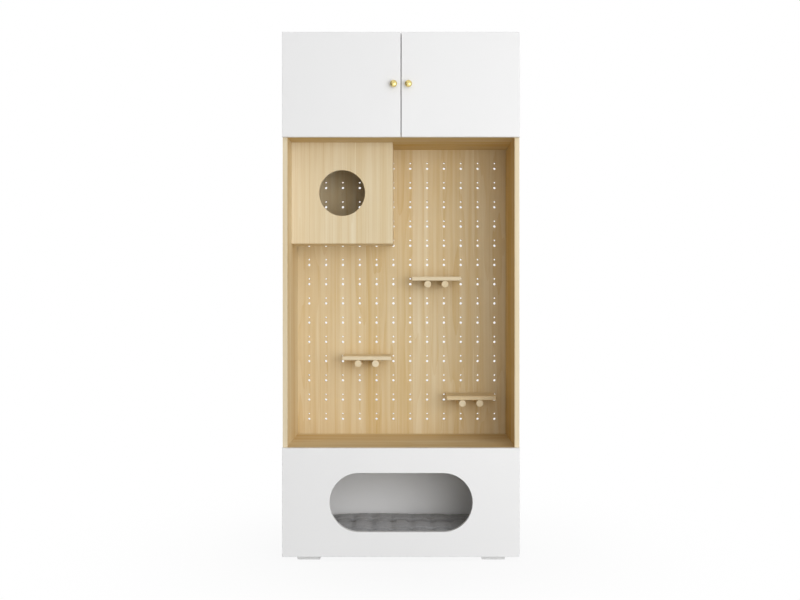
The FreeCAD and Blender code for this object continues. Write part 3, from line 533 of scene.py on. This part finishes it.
# Cubby: a box in the upper left corner of the middle, of the same pine, with a round hole for the cat cut
# in its front. Splines join its front, side and bottom to each other and to the cabinet.
cover(oiled_pine("cubby_front_pine", "ZXY", 60.92, stave_width=0.092), solids["cubby_front"])
cover(oiled_pine("cubby_side_pine", "ZYX", 71.4), solids["cubby_right_side"])
cover(oiled_pine("cubby_bottom_pine", "XYZ", 83.1), solids["cubby_bottom"])


# Steps: each a small pine board with eased edges on two turned pegs. The pegs' tenons and two steel pins at
# the back push into the pegboard, and screws through the pegs hold the board.
PEG_RADIUS = 0.014
TENON_RADIUS = 0.005
TENON_LENGTH = 0.017
PEG_END_EASE = 0.0012
STEP_PIN_RADIUS = 0.0034
TURNING_STEPS = 48


def turned_mesh(name, profile, centres, facing=1.0):
    """A lathe-turned mesh for each centre: (radius, distance) points swept about a line along Y."""
    shape = bmesh.new()
    for centre in centres:
        line = [shape.verts.new((radius, 0, facing * distance)) for radius, distance in profile]
        edges = [shape.edges.new(pair) for pair in zip(line, line[1:])]
        bmesh.ops.spin(shape, geom=line + edges, axis=(0, 0, 1), angle=math.tau, steps=TURNING_STEPS)
        loose = [vertex for vertex in shape.verts if not vertex.tag]
        place = Matrix.Translation(centre) @ Matrix.Rotation(-math.pi / 2, 4, "X")
        bmesh.ops.transform(shape, matrix=place, verts=loose)
        for vertex in loose:
            vertex.tag = True
    bmesh.ops.remove_doubles(shape, verts=shape.verts, dist=0.000002)
    bmesh.ops.recalc_face_normals(shape, faces=shape.faces)
    mesh = bpy.data.meshes.new(name)
    shape.to_mesh(mesh)
    shape.free()
    mesh.shade_smooth()
    mesh.set_sharp_from_angle(angle=math.radians(40))
    return mesh


for number, step in enumerate(("upper_step", "middle_step", "lower_step")):
    low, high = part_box(step + "_pegs")
    peg_length = high.y - low.y - TENON_LENGTH
    peg_profile = [
        (0, 0),
        (PEG_RADIUS - PEG_END_EASE, 0),
        (PEG_RADIUS, PEG_END_EASE),
        (PEG_RADIUS, peg_length),
        (TENON_RADIUS, peg_length),
        (TENON_RADIUS, peg_length + TENON_LENGTH),
        (0, peg_length + TENON_LENGTH),
    ]
    peg_height = high.z - PEG_RADIUS
    peg_starts = [(x, low.y, peg_height) for x in (low.x + PEG_RADIUS, high.x - PEG_RADIUS)]
    pegs = new_piece(step + "_turned_pegs", turned_mesh(step + "_turned_pegs", peg_profile, peg_starts))
    cover(oiled_pine(step + "_peg_pine", "YXZ", 91.3 + number * 3.7, stave_width=0.070), pegs)
    stand_for(pegs, step, "light_wood", step + "_pegs")
    low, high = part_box(step + "_pins")
    pin_profile = [
        (0, 0),
        (STEP_PIN_RADIUS, 0),
        (STEP_PIN_RADIUS, high.y - low.y - STEP_PIN_RADIUS / 3),
        (STEP_PIN_RADIUS * 2 / 3, high.y - low.y),
        (0, high.y - low.y),
    ]
    pin_height = (low.z + high.z) / 2
    pin_starts = [(x, low.y, pin_height) for x in (low.x + STEP_PIN_RADIUS, high.x - STEP_PIN_RADIUS)]
    pins = new_piece(step + "_round_pins", turned_mesh(step + "_round_pins", pin_profile, pin_starts))
    cover(nickel_plate, pins, solids[step + "_screws"])
    stand_for(pins, step, "steel", step + "_pins")
    board_pine = oiled_pine(step + "_board_pine", "XYZ", 104.6 + number * 5.3, stave_width=0.090)
    cover(board_pine, solids[step + "_board"])


# Cupboard: the white box at the top, of the same sprayed boards as the bed box, with a thin back let into
# grooves.
cover(
    white_lacquer,
    *(solids[name] for name in ("upper_left_side", "upper_right_side", "upper_back_panel", "top_board")),
)


# Hinges: two concealed hinges for each door, of pressed steel plated with nickel. A cup is knocked into a
# bore in the door, and an arm on a screwed plate holds the pin on which it turns.
for side in ("left", "right"):
    for part in ("arms", "plates", "cups", "pins"):
        cover(nickel_plate, solids[f"{side}_hinge_{part}"])
cover(nickel_plate, solids["hinge_plate_screws"], solids["hinge_arm_screws"])


# Doors and knobs: plain white doors that cover the front edges of the cupboard, and knobs turned from solid
# brass, polished, each held by a machine screw from inside its door.
KNOB_RADIUS = 0.0135
KNOB_NECK_RADIUS = 0.0062
BRASS = (0.80, 0.66, 0.28, 1)
BRASS_SHADE = (0.68, 0.53, 0.20, 1)
BRASS_ROUGHNESS = 0.22
BRASS_GLOSS_SPREAD = 0.10
POLISH_DENSITY = 180.0
POLISH_HEIGHT = 0.00002
brass, tree, shader = new_material("turned_brass", metallic=1.0)
polish = noise(tree, object_place(tree), scale=POLISH_DENSITY, detail=4.0)
brass_gloss = calc(tree, "MULTIPLY_ADD", polish, BRASS_GLOSS_SPREAD, BRASS_ROUGHNESS)
connect(tree, shader.inputs["Base Color"], blend_colour(tree, polish, BRASS, BRASS_SHADE))
connect(tree, shader.inputs["Roughness"], brass_gloss)
raise_surface(tree, shader, polish, distance=POLISH_HEIGHT)
for side in ("left", "right"):
    cover(white_lacquer, solids[side + "_door"])
    cover(nickel_plate, solids[side + "_knob_screw"])
    low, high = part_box(side + "_knob")
    knob_length = high.y - low.y
    knob_profile = [
        (0, 0),
        (KNOB_NECK_RADIUS, 0),
        (KNOB_NECK_RADIUS * 0.92, knob_length * 0.20),
        (KNOB_NECK_RADIUS * 1.05, knob_length * 0.40),
        (KNOB_RADIUS * 0.86, knob_length * 0.50),
        (KNOB_RADIUS, knob_length * 0.62),
        (KNOB_RADIUS * 0.98, knob_length * 0.76),
        (KNOB_RADIUS * 0.84, knob_length * 0.90),
        (KNOB_RADIUS * 0.52, knob_length * 0.98),
        (0, knob_length),
    ]
    knob_foot = ((low.x + high.x) / 2, high.y, (low.z + high.z) / 2)
    knob_mesh = turned_mesh(side + "_turned_knob", knob_profile, [knob_foot], facing=-1.0)
    knob = new_piece(side + "_turned_knob", knob_mesh)
    cover(brass, knob)
    stand_for(knob, side + "_door", "brass", side + "_knob")


# Studio: a plain pale floor that keeps the cabinet's shadow, and a white surround that lights most from the
# front right and from behind. One soft lamp stands at the front right, a dark card at the left shows only in
# reflections, and the camera is straight in front of the middle.
FLOOR_SIZE = 24.0
FLOOR_PALE = (0.58, 0.58, 0.58, 1)
SHADOW_REACH = 0.7
SHADOW_SHARE = 0.10
SURROUND_LEAST = 0.05
SURROUND_BACK = 1.1
SURROUND_SLOPE = (0.62, -1.06, 0.0)
LAMP_PLACE = Vector((1.9, -4.1, 0.7))
LAMP_TARGET = Vector((0.0, 0.0, 1.0))
LAMP_SIZE = 3.4
LAMP_POWER = 118.0
CARD_PLACE = (-1.2, -0.8, 1.8)
CARD_LENGTH = 1.6
CARD_HEIGHT = 2.4
CARD_GREY = (0.08, 0.08, 0.08, 1)
CAMERA_PLACE = (0.034, -4.0875, 1.0475)
CAMERA_LENS = 46.4
CAMERA_SHIFT = (-0.0125, -0.01875)
scene = bpy.context.scene
scene.view_settings.view_transform = "Standard"


def shown_directly(tree):
    """One where a surface is seen by the camera, in a reflection or through something clear."""
    path = add_node(tree, "ShaderNodeLightPath").outputs
    seen = calc(tree, "MAXIMUM", path["Is Camera Ray"], path["Is Glossy Ray"])
    return calc(tree, "MAXIMUM", seen, path["Is Transmission Ray"])


floor_sheet = bmesh.new()
bmesh.ops.create_grid(floor_sheet, x_segments=8, y_segments=8, size=FLOOR_SIZE / 2)
floor = new_piece("studio_floor", bpy.data.meshes.new("studio_floor"))
floor_sheet.to_mesh(floor.data)
floor_sheet.free()
floor_paint, tree, shader = new_material("floor_paint", roughness=0.9)
connect(tree, shader.inputs["Base Color"], FLOOR_PALE)
glow = add_node(tree, "ShaderNodeEmission", {"Strength": 1.0})
away = add_node(tree, "ShaderNodeVectorMath", {0: object_place(tree)}, operation="LENGTH").outputs["Value"]
near = calc(tree, "EXPONENT", calc(tree, "MULTIPLY", calc(tree, "POWER", away, 2.0), -1 / SHADOW_REACH**2))
glow_share = calc(tree, "MULTIPLY_ADD", near, -SHADOW_SHARE, 1.0)
shown_glow = calc(tree, "MULTIPLY", shown_directly(tree), glow_share)
floor_mix = add_node(tree, "ShaderNodeMixShader", {0: shown_glow})
tree.links.new(shader.outputs[0], floor_mix.inputs[1])
tree.links.new(glow.outputs[0], floor_mix.inputs[2])
tree.links.new(floor_mix.outputs[0], tree.nodes["Material Output"].inputs["Surface"])
cover(floor_paint, floor)

surround = bpy.data.worlds.new("white_surround")
surround.use_nodes = True
scene.world = surround
tree = surround.node_tree
background = tree.nodes["Background"]
background.inputs["Color"].default_value = (1, 1, 1, 1)
direction = add_node(tree, "ShaderNodeTexCoord").outputs["Generated"]
slope = add_node(tree, "ShaderNodeVectorMath", {0: direction, 1: SURROUND_SLOPE}, operation="DOT_PRODUCT")
ambient = calc(tree, "MAXIMUM", slope.outputs["Value"], SURROUND_LEAST)
behind = add_node(tree, "ShaderNodeSeparateXYZ", {"Vector": direction}).outputs["Y"]
ambient = calc(tree, "MULTIPLY_ADD", calc(tree, "MAXIMUM", behind, 0.0), SURROUND_BACK, ambient)
whiter = calc(tree, "MULTIPLY", shown_directly(tree), calc(tree, "SUBTRACT", 1.0, ambient))
connect(tree, background.inputs["Strength"], calc(tree, "ADD", ambient, whiter))

lamp = bpy.data.objects.new("soft_lamp", bpy.data.lights.new("soft_lamp", "AREA"))
lamp.data.shape = "SQUARE"
lamp.data.size = LAMP_SIZE
lamp.data.energy = LAMP_POWER
lamp.location = LAMP_PLACE
lamp.rotation_euler = (LAMP_TARGET - LAMP_PLACE).to_track_quat("-Z", "Y").to_euler()
scene.collection.objects.link(lamp)

card_sheet = bmesh.new()
card_turn = Matrix.Translation(CARD_PLACE) @ Matrix.Rotation(math.pi / 2, 4, "Y")
card_scale = Matrix.Diagonal((CARD_HEIGHT / 2, CARD_LENGTH / 2, 1, 1))
bmesh.ops.create_grid(card_sheet, x_segments=4, y_segments=4, size=1, matrix=card_turn @ card_scale)
card = new_piece("dark_card", bpy.data.meshes.new("dark_card"))
card_sheet.to_mesh(card.data)
card_sheet.free()
card.visible_camera = card.visible_diffuse = card.visible_shadow = False
card_paper, tree, shader = new_material("card_paper", roughness=0.9)
connect(tree, shader.inputs["Base Color"], CARD_GREY)
cover(card_paper, card)

camera = bpy.data.objects.new("camera", bpy.data.cameras.new("camera"))
camera.location = CAMERA_PLACE
camera.rotation_euler = (math.pi / 2, 0, 0)
camera.data.lens = CAMERA_LENS
camera.data.shift_x, camera.data.shift_y = CAMERA_SHIFT
scene.collection.objects.link(camera)
scene.camera = camera
